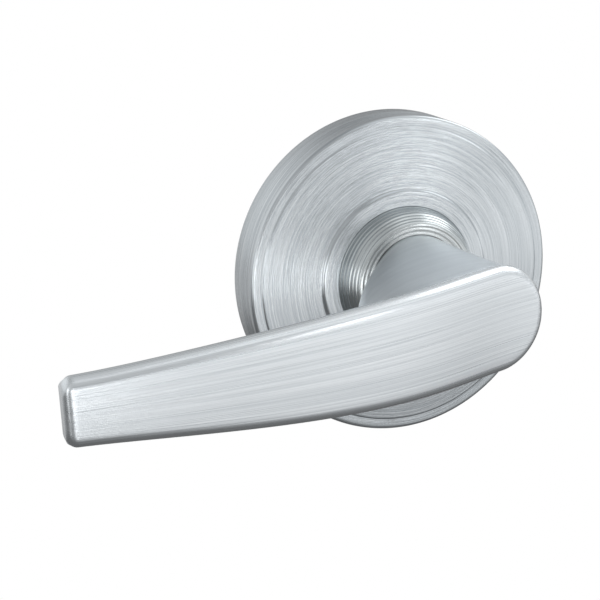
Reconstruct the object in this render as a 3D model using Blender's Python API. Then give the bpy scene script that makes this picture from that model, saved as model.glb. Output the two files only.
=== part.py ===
"""Lever handle lockset: the outside lever, its rose and spring cage, and the chassis that sits in the door.

Frame, in metres: the origin is on the spindle axis, in the plane of the door face that the rose rests on.
-Y points out of the door, +Y into it, +Z is up and the lever's tip points to -X.
A depth is a distance out of the door face, so y = -depth, and what lies inside the door has a negative depth.
"""

import math

import bmesh
import bpy
from mathutils import Matrix, Vector

# Clearances between neighbours
GAP = 0.0003
WIDE_GAP = 0.0007
CUT_MARGIN = 0.0010

# Rose: a pressed shell
ROSE_RADIUS = 0.0430
ROSE_EDGE_DEPTH = 0.0129
ROSE_CORNER = 0.0012
ROSE_WALL = 0.0012
RIM_BAND_WIDTH = 0.0030
FACE_RISE = 0.0013
SHOULDER_WIDTH = 0.0039
SHOULDER_STEP = 0.0007

# Collar round the lever's neck, and the bush inside it
COLLAR_FRONT_DEPTH = 0.0220
COLLAR_WIDTH = 0.0034
COLLAR_FLARE = 0.0017
COLLAR_WAIST_DEPTH = 0.0188
COLLAR_FOOT = 0.0012
COLLAR_FLANGE_WIDTH = 0.0032
COLLAR_FLANGE_THICKNESS = 0.0014
COLLAR_LIP = 0.0012
BUSH_WALL = 0.0011

# Lever: its front face follows one curve in plan, given by its ends and the two points that pull it
LEVER_REACH = 0.1095
LEVER_TIP_DEPTH = 0.0764
LEVER_HEEL_REACH = 0.0168
LEVER_HEEL_DEPTH = 0.0612
LEVER_TIP_PULL = Vector((-0.0180, 0.0849))
LEVER_HEEL_PULL = Vector((-0.0160, 0.0673))
BLADE_THICKNESS = 0.0058
BLADE_TIP_HALF_HEIGHT = 0.0081
BLADE_HEEL_HALF_HEIGHT = 0.0133
BLADE_EDGE_RADIUS = 0.0026
BLADE_TAPER_START = 2.2
BLADE_TAPER_END = 1.57
NECK_RADIUS = 0.0130
NECK_FLARE = 0.0215
NECK_HEEL_FLARE = 0.0024
NECK_FLARE_START = 0.19
NECK_SQUARENESS = 1.2
LEVER_BORE_DEPTH = 0.0520
KEY_WIDTH = 0.0026
KEY_HEIGHT = 0.0012

# Outside spindle and the split ring that holds it in the cage
SPINDLE_RADIUS = 0.0090
SPINDLE_WALL = 0.0018
SPINDLE_FRONT_DEPTH = 0.0500
SPINDLE_CHAMFER = 0.0005
SPINDLE_FLAT_CUT = 0.0007
KEY_BACK_DEPTH = 0.0260
RING_THICKNESS = 0.0010
RING_INSET = 0.0010
RING_GROOVE = 0.0006
RING_SPLIT_HALF_ANGLE = math.radians(14)

# Catch that holds the lever on its spindle
CATCH_DEPTH = 0.0330
CATCH_RADIUS = 0.0022
CATCH_FLANGE_RADIUS = 0.0030
CATCH_FLANGE_THICKNESS = 0.0010
CATCH_INSET = 0.0011
CATCH_COIL_RADIUS = 0.0013
CATCH_WIRE_RADIUS = 0.0003
CATCH_TURNS = 6

# Spring cage and its plate
PLATE_INSET = 0.0013
PLATE_THICKNESS = 0.0020
CAGE_INSET = 0.0036
CAGE_FRONT_DEPTH = 0.0108
CAGE_FRONT_WALL = 0.0018
CAGE_SIDE_WALL = 0.0020
LUG_HEIGHT = 0.0071
LUG_HALF_ANGLE = math.radians(24)
ARM_HALF_ANGLE = math.radians(6)
STOP_GAP_ANGLE = math.radians(0.6)

# Drive plate, which turns with the spindle and pushes the return springs
DRIVE_THICKNESS = 0.0030
DRIVE_BOSS_WALL = 0.0037
DRIVE_DISC_RIM = 0.0040
DRIVE_PAD_OVERLAP = 0.0004
WASHER_THICKNESS = 0.0007
WASHER_RIM = 0.0020

# Return springs, bent round the axis
RETURN_COIL_RADIUS = 0.0023
RETURN_WIRE_RADIUS = 0.0006
RETURN_TURNS = 8

# Posts that take the through bolts, and the screws that close the cage
POST_CIRCLE_RADIUS = 0.034925
POST_RADIUS = 0.0040
POST_REACH = 0.0082
POST_BORE_RADIUS = 0.0021
POST_BORE_LENGTH = 0.0110
POST_BOSS_RADIUS = 0.0055
SCREW_CIRCLE_RADIUS = 0.0313
SCREW_ANGLE = math.radians(16)
SCREW_RADIUS = 0.0015
SCREW_HEAD_RADIUS = 0.0027
SCREW_LENGTH = 0.0072
SOCKET_RADIUS = 0.0010

# Chassis: a drum that fills the door's cross bore
CASE_RADIUS = 0.0248
CASE_WALL = 0.0015
FLANGE_THICKNESS = 0.0020
OUTER_FLANGE_Y = 0.0030
HUB_SLEEVE_WALL = 0.0023
HUB_SLEEVE_REACH = 0.0070
NUT_RIM = 0.0054
NUT_NOTCH = 0.0030
INNER_SPINDLE_REACH = 0.0160

# Rollback cams and the retractor that they draw back
CAM_BASE_RADIUS = 0.0145
CAM_HUB_WALL = 0.0017
CAM_THICKNESS = 0.0030
CAM_LOBE_WIDTH = 0.0050
CAM_START_Y = 0.0079
HANDLE_TURN = math.radians(50)
RETRACTOR_BACK_X = -0.0035
RETRACTOR_FRONT_X = 0.0158
RETRACTOR_HALF_HEIGHT = 0.0162
RETRACTOR_THICKNESS = 0.0138
JAW_MOUTH_HALF_HEIGHT = 0.0045
JAW_HALF_HEIGHT = 0.0080
JAW_LIP = 0.0040
JAW_LENGTH = 0.0062
WINDOW_HALF_HEIGHT = 0.0085
WINDOW_HALF_WIDTH = 0.0062

# Springs behind the retractor
PUSH_SPRING_Z = 0.0090
PUSH_POCKET_RADIUS = 0.0029
PUSH_POCKET_LENGTH = 0.0055
PUSH_COIL_RADIUS = 0.0020
PUSH_WIRE_RADIUS = 0.00035
PUSH_TURNS = 7

# Fineness of round shapes
FINE = 56
ROUND = 36
SMALL = 14
CORNER_STEPS = 3
BLADE_STEPS = 16
HEEL_STEPS = 6
HEEL_LAST_ANGLE = math.radians(86)
NECK_STEPS = 6
NECK_POINTS = 28
COIL_POINTS = 6

# Places that follow from the sizes above
LEVER_TIP = Vector((-LEVER_REACH, LEVER_TIP_DEPTH))
LEVER_HEEL = Vector((LEVER_HEEL_REACH, LEVER_HEEL_DEPTH))
HEEL_SLOPE = math.cos(math.atan2(LEVER_HEEL_PULL.y - LEVER_HEEL.y, LEVER_HEEL.x - LEVER_HEEL_PULL.x))
HEEL_CENTRE_X = LEVER_HEEL.x - BLADE_HEEL_HALF_HEIGHT * HEEL_SLOPE
COLLAR_FRONT_RADIUS = NECK_RADIUS + COLLAR_WIDTH
COLLAR_WAIST_RADIUS = COLLAR_FRONT_RADIUS + COLLAR_FLARE
ROSE_HOLE_RADIUS = COLLAR_WAIST_RADIUS + COLLAR_FOOT
COLLAR_FLANGE_RADIUS = ROSE_HOLE_RADIUS + COLLAR_FLANGE_WIDTH
SHOULDER_RADIUS = ROSE_HOLE_RADIUS + SHOULDER_WIDTH
SHOULDER_DEPTH = ROSE_EDGE_DEPTH + FACE_RISE + SHOULDER_STEP
COLLAR_RADIUS = ROSE_HOLE_RADIUS - GAP
COLLAR_BACK_DEPTH = CAGE_FRONT_DEPTH + GAP
BUSH_INNER_RADIUS = NECK_RADIUS + GAP
BUSH_OUTER_RADIUS = BUSH_INNER_RADIUS + BUSH_WALL
RING_RADIUS = NECK_RADIUS - RING_INSET
CATCH_REACH = NECK_RADIUS - CATCH_INSET
PLATE_RADIUS = ROSE_RADIUS - ROSE_WALL - PLATE_INSET
CAGE_RADIUS = PLATE_RADIUS - CAGE_INSET
CHANNEL_RADIUS = CAGE_RADIUS - CAGE_SIDE_WALL
LUG_RADIUS = CHANNEL_RADIUS - LUG_HEIGHT
DRIVE_PAD_RADIUS = LUG_RADIUS + DRIVE_PAD_OVERLAP
RETURN_MEAN_RADIUS = (DRIVE_PAD_RADIUS + CHANNEL_RADIUS) / 2
CAVITY_FRONT_DEPTH = CAGE_FRONT_DEPTH - CAGE_FRONT_WALL
DRIVE_BACK_DEPTH = PLATE_THICKNESS + WIDE_GAP + GAP
DRIVE_FRONT_DEPTH = DRIVE_BACK_DEPTH + DRIVE_THICKNESS
DRIVE_PAD_DEPTH = CAVITY_FRONT_DEPTH - WIDE_GAP
WASHER_FRONT_DEPTH = CAVITY_FRONT_DEPTH - GAP
DRIVE_BOSS_DEPTH = WASHER_FRONT_DEPTH - WASHER_THICKNESS - GAP
SPRING_DEPTH = (PLATE_THICKNESS + CAVITY_FRONT_DEPTH) / 2
RING_BACK_DEPTH = CAGE_FRONT_DEPTH + GAP
RING_FRONT_DEPTH = RING_BACK_DEPTH + RING_THICKNESS
NECK_BACK_DEPTH = RING_FRONT_DEPTH + GAP
SPINDLE_BORE_RADIUS = SPINDLE_RADIUS - SPINDLE_WALL
HUB_BORE_RADIUS = SPINDLE_RADIUS + GAP
SPINDLE_FLAT = SPINDLE_RADIUS - SPINDLE_FLAT_CUT
HUB_SLEEVE_RADIUS = HUB_BORE_RADIUS + HUB_SLEEVE_WALL
NUT_RADIUS = HUB_SLEEVE_RADIUS + NUT_RIM
CAM_HUB_RADIUS = HUB_BORE_RADIUS + CAM_HUB_WALL
DRIVE_BOSS_RADIUS = HUB_BORE_RADIUS + DRIVE_BOSS_WALL
DRIVE_DISC_RADIUS = DRIVE_BOSS_RADIUS + DRIVE_DISC_RIM
WASHER_RADIUS = DRIVE_BOSS_RADIUS + WASHER_RIM
ARM_ANGLE = math.pi / 2 + LUG_HALF_ANGLE + STOP_GAP_ANGLE + ARM_HALF_ANGLE
CAM_END_Y = CAM_START_Y + CAM_THICKNESS
RETRACTOR_START_Y = CAM_END_Y + WIDE_GAP
RETRACTOR_END_Y = RETRACTOR_START_Y + RETRACTOR_THICKNESS
RETRACTOR_MIDDLE_Y = (RETRACTOR_START_Y + RETRACTOR_END_Y) / 2
INNER_CAM_START_Y = RETRACTOR_END_Y + WIDE_GAP
INNER_CAM_END_Y = INNER_CAM_START_Y + CAM_THICKNESS
CASE_START_Y = OUTER_FLANGE_Y + FLANGE_THICKNESS + GAP
CASE_END_Y = INNER_CAM_END_Y + (CAM_START_Y - CASE_START_Y)
INNER_FLANGE_Y = CASE_END_Y + GAP
CASE_BORE_RADIUS = CASE_RADIUS - CASE_WALL
SHOULDER_FOOT = CAM_HUB_RADIUS + GAP


def finish(name, colour, roughness, metallic=1.0):
    """A Principled material of one colour."""
    material = bpy.data.materials.new(name)
    material.use_nodes = True
    shader = material.node_tree.nodes["Principled BSDF"]
    shader.inputs["Base Color"].default_value = (*colour, 1.0)
    shader.inputs["Roughness"].default_value = roughness
    shader.inputs["Metallic"].default_value = metallic
    return material


def add_object(name, data, material, parent=None, location=(0, 0, 0)):
    """Puts a mesh or a curve in the scene as a named sub-part."""
    part = bpy.data.objects.new(name, data)
    bpy.context.scene.collection.objects.link(part)
    part.location = location
    part.parent = parent
    if material is not None:
        data.materials.append(material)
    return part


def axis_empty(name, location=(0, 0, 0), parent=None):
    """An empty on a joint's axis, which carries the pieces that move together."""
    empty = bpy.data.objects.new(name, None)
    bpy.context.scene.collection.objects.link(empty)
    empty.location = location
    empty.parent = parent
    return empty


def mesh_from(bm, name, crease=math.radians(32)):
    """Turns a bmesh into a closed mesh that faces out, shaded smooth with its corners kept sharp."""
    bmesh.ops.remove_doubles(bm, verts=bm.verts, dist=1e-7)
    bmesh.ops.recalc_face_normals(bm, faces=bm.faces)
    mesh = bpy.data.meshes.new(name)
    bm.to_mesh(mesh)
    bm.free()
    mesh.shade_smooth()
    mesh.set_sharp_from_angle(angle=crease)
    return mesh


def circle(radius, steps):
    """Points round a circle about the axis, as (x, z)."""
    return [polar(radius, 2 * math.pi * i / steps) for i in range(steps)]


def arc(radius, start, end, steps):
    """Points along an arc about the axis, both ends included."""
    return [polar(radius, start + (end - start) * i / steps) for i in range(steps + 1)]


def polar(radius, angle):
    """The (x, z) place at an angle about the axis, counted from +X up."""
    return radius * math.cos(angle), radius * math.sin(angle)


def ring_profile(inner, outer, back, front):
    """The section of a plain ring, as (radius, depth) points."""
    return [(inner, back), (outer, back), (outer, front), (inner, front)]


def turned_bmesh(profile, steps, closed=True):
    """Spins a profile of (radius, depth) points about the spindle axis."""
    bm = bmesh.new()
    ring = [bm.verts.new((radius, -depth, 0)) for radius, depth in profile]
    edges = [bm.edges.new(pair) for pair in zip(ring, ring[1:])]
    if closed:
        edges.append(bm.edges.new((ring[-1], ring[0])))
    bmesh.ops.spin(bm, geom=ring + edges, cent=(0, 0, 0), axis=(0, 1, 0), angle=2 * math.pi,
                   steps=steps, use_merge=True)
    return bm


def turned(name, profile, material, steps=ROUND, closed=True, **place):
    """A turned sub-part; an open profile starts and ends on the axis."""
    return add_object(name, mesh_from(turned_bmesh(profile, steps, closed), name), material, **place)


def add_prism(bm, outline, back, front, matrix=None):
    """Adds an outline of (x, z) points, extruded from one depth to another."""
    low = [bm.verts.new((x, -back, z)) for x, z in outline]
    high = [bm.verts.new((x, -front, z)) for x, z in outline]
    bm.faces.new(low)
    bm.faces.new(reversed(high))
    for i, corner in enumerate(low):
        after = (i + 1) % len(low)
        bm.faces.new((corner, high[i], high[after], low[after]))
    if matrix is not None:
        bmesh.ops.transform(bm, matrix=matrix, verts=low + high)


def add_box(bm, x_ends, y_ends, z_ends):
    """Adds a box between two values of each coordinate."""
    (x0, x1), (y0, y1), (z0, z1) = sorted(x_ends), sorted(y_ends), sorted(z_ends)
    add_prism(bm, [(x0, z0), (x1, z0), (x1, z1), (x0, z1)], -y1, -y0)


def combine(part, bm, name, operation="DIFFERENCE"):
    """Cuts a tool's shape out of a sub-part, or joins it on; the tool itself isn't a sub-part."""
    tool = add_object(name, mesh_from(bm, name), None, parent=part.parent, location=part.location)
    tool.hide_render = True
    tool.display_type = "WIRE"
    modifier = part.modifiers.new(name, "BOOLEAN")
    modifier.operation = operation
    modifier.object = tool


def wire(name, points, radius, material, **place):
    """A round wire along a list of points, with closed ends."""
    curve = bpy.data.curves.new(name, "CURVE")
    curve.dimensions = "3D"
    curve.bevel_depth = radius
    curve.bevel_resolution = 1
    curve.use_fill_caps = True
    spline = curve.splines.new("POLY")
    spline.points.add(len(points) - 1)
    for point, place_on_wire in zip(spline.points, points):
        point.co = (*place_on_wire, 1.0)
    return add_object(name, curve, material, **place)


def coil(start, end, radius, turns, across, beside):
    """Points of a straight helix from one end to the other, about unit vectors across its axis."""
    steps = turns * COIL_POINTS
    points = []
    for i in range(steps + 1):
        angle = 2 * math.pi * i / COIL_POINTS
        swing = across * math.cos(angle) + beside * math.sin(angle)
        points.append(start.lerp(end, i / steps) + swing * radius)
    return points


def lever_plan(t):
    """A point of the front face's plan curve, as (x, depth), from the tip at 0 to the heel at 1."""
    u = 1 - t
    return u**3 * LEVER_TIP + 3 * u**2 * t * LEVER_TIP_PULL + 3 * u * t**2 * LEVER_HEEL_PULL + t**3 * LEVER_HEEL


def lever_station(x):
    """The plan curve's point at x, and the front face's unit normal there, both as (x, depth)."""
    low, high = 0.0, 1.0
    for _ in range(40):
        middle = (low + high) / 2
        if lever_plan(middle).x < x:
            low = middle
        else:
            high = middle
    step = 1e-3
    along = lever_plan(low + step) - lever_plan(low - step)
    return lever_plan(low), Vector((-along.y, along.x)).normalized()


def blade_half_height(x):
    """Half height of the blade's outline, which narrows from the hub to the tip."""
    reach = max(0.0, min(1.0, x / LEVER_TIP.x))
    swell = (1 - reach**BLADE_TAPER_START) ** BLADE_TAPER_END
    return BLADE_TIP_HALF_HEIGHT + (BLADE_HEEL_HALF_HEIGHT - BLADE_TIP_HALF_HEIGHT) * swell


def blade_corner(past_centre, half_height, inset):
    """A quarter of the blade's section, as (across, height), from its flat face round to its edge.

    Past the heel's centre the outline is a half round of the same half height, cut in slices.
    """
    flat = half_height - BLADE_EDGE_RADIUS
    widest = math.pi / 2
    if past_centre > flat:
        widest = math.acos(min(1.0, (past_centre - flat) / BLADE_EDGE_RADIUS))
    points = []
    for i in range(CORNER_STEPS + 1):
        angle = widest * (1 - i / CORNER_STEPS)
        reach = flat + BLADE_EDGE_RADIUS * math.cos(angle)
        across = BLADE_THICKNESS / 2 - BLADE_EDGE_RADIUS * (1 - math.sin(angle))
        points.append((across - inset, math.sqrt(max(0.0, reach**2 - past_centre**2)) - inset))
    return points


def blade_section(x, inset=0.0):
    """The ring of points where the blade is cut square to its plan curve."""
    place, normal = lever_station(x)
    past_centre = max(0.0, x - HEEL_CENTRE_X) / HEEL_SLOPE
    corner = blade_corner(past_centre, blade_half_height(min(x, HEEL_CENTRE_X)), inset)
    ring = corner + [(-a, b) for a, b in reversed(corner)]
    ring += [(-a, -b) for a, b in corner] + [(a, -b) for a, b in reversed(corner)]
    centre = place - normal * (BLADE_THICKNESS / 2)
    return [(centre.x + normal.x * a, -(centre.y + normal.y * a), b) for a, b in ring]


def loft_bmesh(sections):
    """Joins rings of points that follow each other into a skin with flat ends."""
    bm = bmesh.new()
    rings = [[bm.verts.new(point) for point in section] for section in sections]
    for near, far in zip(rings, rings[1:]):
        for i, corner in enumerate(near):
            after = (i + 1) % len(near)
            bm.faces.new((corner, near[after], far[after], far[i]))
    bm.faces.new(rings[0])
    bm.faces.new(reversed(rings[-1]))
    return bm


def blade_bmesh():
    """The grip: curved in plan, tapering to a rounded tip, and ending in a half round at the heel."""
    sections = []
    for i in range(CORNER_STEPS):
        angle = math.pi / 2 * i / CORNER_STEPS
        run = BLADE_EDGE_RADIUS * (1 - math.cos(angle))
        sections.append(blade_section(LEVER_TIP.x + run, BLADE_EDGE_RADIUS * (1 - math.sin(angle))))
    start = LEVER_TIP.x + BLADE_EDGE_RADIUS
    for i in range(BLADE_STEPS + 1):
        sections.append(blade_section(start + (HEEL_CENTRE_X - start) * i / BLADE_STEPS))
    for i in range(1, HEEL_STEPS + 1):
        angle = HEEL_LAST_ANGLE * i / HEEL_STEPS
        sections.append(blade_section(HEEL_CENTRE_X + (LEVER_HEEL.x - HEEL_CENTRE_X) * math.sin(angle)))
    return loft_bmesh(sections)


def neck_bmesh():
    """The neck: round where it turns in the collar, widening towards the tip where it meets the blade."""
    sections = []
    for i in range(-1, NECK_STEPS + 1):
        widen = max(0.0, i / NECK_STEPS)
        share = 0.0 if i < 0 else NECK_FLARE_START + (1 - NECK_FLARE_START) * widen
        left = -NECK_RADIUS - NECK_FLARE * math.sin(widen * math.pi / 2)
        right = NECK_RADIUS + NECK_HEEL_FLARE * widen
        power = 2 / (2 + NECK_SQUARENESS * widen)
        ring = []
        for j in range(NECK_POINTS):
            angle = 2 * math.pi * j / NECK_POINTS
            cosine, sine = math.cos(angle), math.sin(angle)
            x = (left + right) / 2 + (right - left) / 2 * math.copysign(abs(cosine) ** power, cosine)
            z = NECK_RADIUS * math.copysign(abs(sine) ** power, sine)
            place, normal = lever_station(x)
            inside = place.y - BLADE_THICKNESS / 2 / normal.y
            ring.append((x, -(NECK_BACK_DEPTH + (inside - NECK_BACK_DEPTH) * share), z))
        sections.append(ring)
    return loft_bmesh(sections)


def keys_bmesh():
    """The two keys in the lever's bore, which fit the slots of the spindle."""
    bm = bmesh.new()
    wall = SPINDLE_RADIUS + GAP
    for side in (-1, 1):
        add_box(bm, (side * (wall - KEY_HEIGHT), side * (wall + CUT_MARGIN)),
                (-LEVER_BORE_DEPTH - CUT_MARGIN, -KEY_BACK_DEPTH), (-KEY_WIDTH / 2, KEY_WIDTH / 2))
    return bm


def catch_drill_bmesh(length):
    """A drill down from the axis where the catch stands."""
    bm = bmesh.new()
    upright = Matrix.Translation((0, -CATCH_DEPTH, 0)) @ Matrix.Rotation(math.pi / 2, 4, "X")
    add_prism(bm, circle(CATCH_RADIUS + GAP, SMALL), 0, length, upright)
    return bm


def build_lever(metal, parent):
    """The cast lever: grip and neck in one, bored from behind for the spindle."""
    lever = add_object("lever", mesh_from(blade_bmesh(), "lever"), metal, parent)
    combine(lever, neck_bmesh(), "neck_form", "UNION")
    bore = bmesh.new()
    add_prism(bore, circle(SPINDLE_RADIUS + GAP, ROUND), 0, LEVER_BORE_DEPTH)
    combine(lever, bore, "lever_bore")
    combine(lever, keys_bmesh(), "lever_keys", "UNION")
    combine(lever, catch_drill_bmesh(2 * NECK_RADIUS), "lever_catch_hole")


def build_outside_spindle(metal, parent):
    """The tube that the lever turns: slotted in front, grooved for its ring and flatted behind."""
    groove = SPINDLE_RADIUS - RING_GROOVE
    groove_back, groove_front = RING_BACK_DEPTH - GAP / 2, RING_FRONT_DEPTH + GAP / 2
    profile = [(SPINDLE_BORE_RADIUS, -CAM_END_Y), (SPINDLE_RADIUS, -CAM_END_Y),
               (SPINDLE_RADIUS, groove_back), (groove, groove_back),
               (groove, groove_front), (SPINDLE_RADIUS, groove_front),
               (SPINDLE_RADIUS, SPINDLE_FRONT_DEPTH - SPINDLE_CHAMFER),
               (SPINDLE_RADIUS - SPINDLE_CHAMFER, SPINDLE_FRONT_DEPTH),
               (SPINDLE_BORE_RADIUS, SPINDLE_FRONT_DEPTH)]
    spindle = turned("outside_spindle", profile, metal, parent=parent)
    cuts = bmesh.new()
    outside = SPINDLE_RADIUS + CUT_MARGIN
    slot = KEY_WIDTH / 2 + GAP
    for side in (-1, 1):
        add_box(cuts, (side * (SPINDLE_BORE_RADIUS - CUT_MARGIN), side * outside),
                (-SPINDLE_FRONT_DEPTH - CUT_MARGIN, -KEY_BACK_DEPTH + GAP), (-slot, slot))
        add_box(cuts, (-outside, outside), (-DRIVE_FRONT_DEPTH - GAP, CAM_END_Y + CUT_MARGIN),
                (side * SPINDLE_FLAT, side * outside))
    combine(spindle, cuts, "spindle_cuts")
    combine(spindle, catch_drill_bmesh(outside), "spindle_catch_hole")


def build_retaining_ring(metal, parent):
    """The split ring in the spindle's groove, in front of the cage."""
    inner = SPINDLE_RADIUS - GAP
    start, end = RING_SPLIT_HALF_ANGLE - math.pi / 2, 1.5 * math.pi - RING_SPLIT_HALF_ANGLE
    outline = arc(RING_RADIUS, start, end, ROUND) + arc(inner, end, start, ROUND)
    bm = bmesh.new()
    add_prism(bm, outline, RING_BACK_DEPTH, RING_FRONT_DEPTH)
    add_object("retaining_ring", mesh_from(bm, "retaining_ring"), metal, parent)


def build_catch(metal, spring_steel, parent):
    """The catch that stands in the neck's drill, and the spring that pushes it down."""
    flange_top = -(SPINDLE_BORE_RADIUS**2 - CATCH_FLANGE_RADIUS**2) ** 0.5 + GAP + CATCH_FLANGE_THICKNESS
    flange_foot = flange_top - CATCH_FLANGE_THICKNESS
    chamfer = CATCH_RADIUS / 4
    profile = [(0, flange_top), (CATCH_FLANGE_RADIUS, flange_top), (CATCH_FLANGE_RADIUS, flange_foot),
               (CATCH_RADIUS, flange_foot), (CATCH_RADIUS, -CATCH_REACH + chamfer),
               (CATCH_RADIUS - chamfer, -CATCH_REACH), (0, -CATCH_REACH)]
    bm = turned_bmesh([(radius, -height) for radius, height in profile], SMALL, closed=False)
    bmesh.ops.rotate(bm, matrix=Matrix.Rotation(math.pi / 2, 3, "X"), verts=bm.verts)
    add_object("lever_catch", mesh_from(bm, "lever_catch"), metal, parent)
    foot = Vector((0, 0, flange_top + CATCH_WIRE_RADIUS + GAP))
    roof = (SPINDLE_BORE_RADIUS**2 - (CATCH_COIL_RADIUS + CATCH_WIRE_RADIUS) ** 2) ** 0.5
    head = Vector((0, 0, roof - CATCH_WIRE_RADIUS - GAP))
    points = coil(foot, head, CATCH_COIL_RADIUS, CATCH_TURNS, Vector((1, 0, 0)), Vector((0, 1, 0)))
    wire("catch_spring", points, CATCH_WIRE_RADIUS, spring_steel, parent=parent)


def rose_outer_profile():
    """The rose's outside, as (radius, depth), from the door face to the edge of its hole."""
    corner = [(ROSE_RADIUS - ROSE_CORNER * (1 - math.cos(a)), ROSE_EDGE_DEPTH - ROSE_CORNER * (1 - math.sin(a)))
              for a in (math.pi / 2 * i / 3 for i in range(4))]
    rim = ROSE_RADIUS - RIM_BAND_WIDTH
    return [(ROSE_RADIUS, 0)] + corner + [
        (rim, ROSE_EDGE_DEPTH),
        (rim - GAP, ROSE_EDGE_DEPTH + GAP),
        (SHOULDER_RADIUS + SHOULDER_STEP, SHOULDER_DEPTH - SHOULDER_STEP),
        (SHOULDER_RADIUS, SHOULDER_DEPTH),
        (ROSE_HOLE_RADIUS, SHOULDER_DEPTH + GAP),
    ]


def build_rose(metal):
    """The rose: a pressed dish with a low cone for a face and a step round its hole."""
    rim = ROSE_RADIUS - ROSE_WALL
    inside = [(ROSE_HOLE_RADIUS, SHOULDER_DEPTH + GAP - ROSE_WALL), (SHOULDER_RADIUS, SHOULDER_DEPTH - ROSE_WALL),
              (SHOULDER_RADIUS + ROSE_WALL, SHOULDER_DEPTH - SHOULDER_STEP - ROSE_WALL),
              (rim - ROSE_CORNER, ROSE_EDGE_DEPTH - ROSE_WALL), (rim, ROSE_EDGE_DEPTH - ROSE_WALL - ROSE_CORNER),
              (rim, 0)]
    turned("rose", rose_outer_profile() + inside, metal, FINE)


def build_collar(metal, bronze):
    """The collar that stands out of the rose round the neck, and its bush."""
    bore = BUSH_OUTER_RADIUS + GAP
    flange_front = COLLAR_BACK_DEPTH + COLLAR_FLANGE_THICKNESS
    edge = (COLLAR_FRONT_RADIUS - bore) / 2
    step = COLLAR_FRONT_DEPTH - COLLAR_LIP
    profile = [(bore, COLLAR_BACK_DEPTH), (COLLAR_FLANGE_RADIUS, COLLAR_BACK_DEPTH),
               (COLLAR_FLANGE_RADIUS, flange_front), (COLLAR_RADIUS, flange_front),
               (COLLAR_RADIUS, SHOULDER_DEPTH + GAP), (COLLAR_WAIST_RADIUS, COLLAR_WAIST_DEPTH),
               (COLLAR_FRONT_RADIUS, COLLAR_FRONT_DEPTH - edge / 2), (COLLAR_FRONT_RADIUS - edge, COLLAR_FRONT_DEPTH),
               (BUSH_INNER_RADIUS, COLLAR_FRONT_DEPTH), (BUSH_INNER_RADIUS, step), (bore, step)]
    turned("rose_collar", profile, metal)
    bush = ring_profile(BUSH_INNER_RADIUS, BUSH_OUTER_RADIUS, COLLAR_BACK_DEPTH + GAP, step - GAP)
    turned("neck_bush", bush, bronze)


def fixing_places():
    """Where the posts stand and where the cage's screws go, as (x, z)."""
    tops = (math.pi / 2, -math.pi / 2)
    posts = [polar(POST_CIRCLE_RADIUS, angle) for angle in tops]
    screws = [polar(SCREW_CIRCLE_RADIUS, angle + side * SCREW_ANGLE) for angle in tops for side in (-1, 1)]
    return posts, screws


def add_drills(bm, places, radius, back, front):
    """Adds round cutters at several places."""
    for x, z in places:
        add_prism(bm, circle(radius, SMALL), back, front, Matrix.Translation((x, 0, z)))


def build_cage(casting):
    """The spring cage: a dish with a lug above and below, a boss for each post and a bearing for the spindle."""
    posts, screws = fixing_places()
    cage_back = PLATE_THICKNESS + GAP
    body = bmesh.new()
    add_prism(body, circle(CAGE_RADIUS, FINE), cage_back, CAGE_FRONT_DEPTH)
    cage = add_object("spring_cage", mesh_from(body, "spring_cage"), casting)
    for name, (x, z) in zip(("upper_boss", "lower_boss"), posts):
        boss = bmesh.new()
        add_prism(boss, circle(POST_BOSS_RADIUS, SMALL), cage_back, CAGE_FRONT_DEPTH, Matrix.Translation((x, 0, z)))
        combine(cage, boss, name, "UNION")
    lug_start, lug_end = math.pi / 2 - LUG_HALF_ANGLE, math.pi / 2 + LUG_HALF_ANGLE
    steps = FINE // 4
    outline = (arc(LUG_RADIUS, lug_start, lug_end, steps // 2) + arc(CHANNEL_RADIUS, lug_end, lug_start + math.pi, steps)
               + arc(LUG_RADIUS, lug_start + math.pi, lug_end + math.pi, steps // 2)
               + arc(CHANNEL_RADIUS, lug_end - math.pi, lug_start, steps))
    cavity = bmesh.new()
    add_prism(cavity, outline, 0, CAVITY_FRONT_DEPTH)
    combine(cage, cavity, "cage_cavity")
    drills = bmesh.new()
    add_prism(drills, circle(HUB_BORE_RADIUS, ROUND), 0, CAGE_FRONT_DEPTH + CUT_MARGIN)
    add_drills(drills, posts, POST_RADIUS + GAP, 0, CAVITY_FRONT_DEPTH)
    add_drills(drills, screws, SCREW_RADIUS + GAP, 0, SCREW_LENGTH + GAP)
    combine(cage, drills, "cage_drills")


def build_plate(steel):
    """The plate that closes the cage and rests on the door."""
    posts, screws = fixing_places()
    plate = turned("cage_plate", ring_profile(HUB_SLEEVE_RADIUS + GAP, PLATE_RADIUS, 0, PLATE_THICKNESS), steel, FINE)
    drills = bmesh.new()
    add_drills(drills, posts, POST_RADIUS + GAP, -CUT_MARGIN, PLATE_THICKNESS + CUT_MARGIN)
    for x, z in screws:
        sink = turned_bmesh([(0, -CUT_MARGIN), (SCREW_HEAD_RADIUS + GAP, -CUT_MARGIN), (SCREW_HEAD_RADIUS + GAP, GAP),
                             (SCREW_RADIUS + GAP, SCREW_HEAD_RADIUS - SCREW_RADIUS + GAP),
                             (SCREW_RADIUS + GAP, PLATE_THICKNESS + CUT_MARGIN), (0, PLATE_THICKNESS + CUT_MARGIN)],
                            SMALL, closed=False)
        bmesh.ops.translate(sink, vec=(x, 0, z), verts=sink.verts)
        mesh = bpy.data.meshes.new("sink")
        sink.to_mesh(mesh)
        sink.free()
        drills.from_mesh(mesh)
        bpy.data.meshes.remove(mesh)
    combine(plate, drills, "plate_drills")


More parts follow.
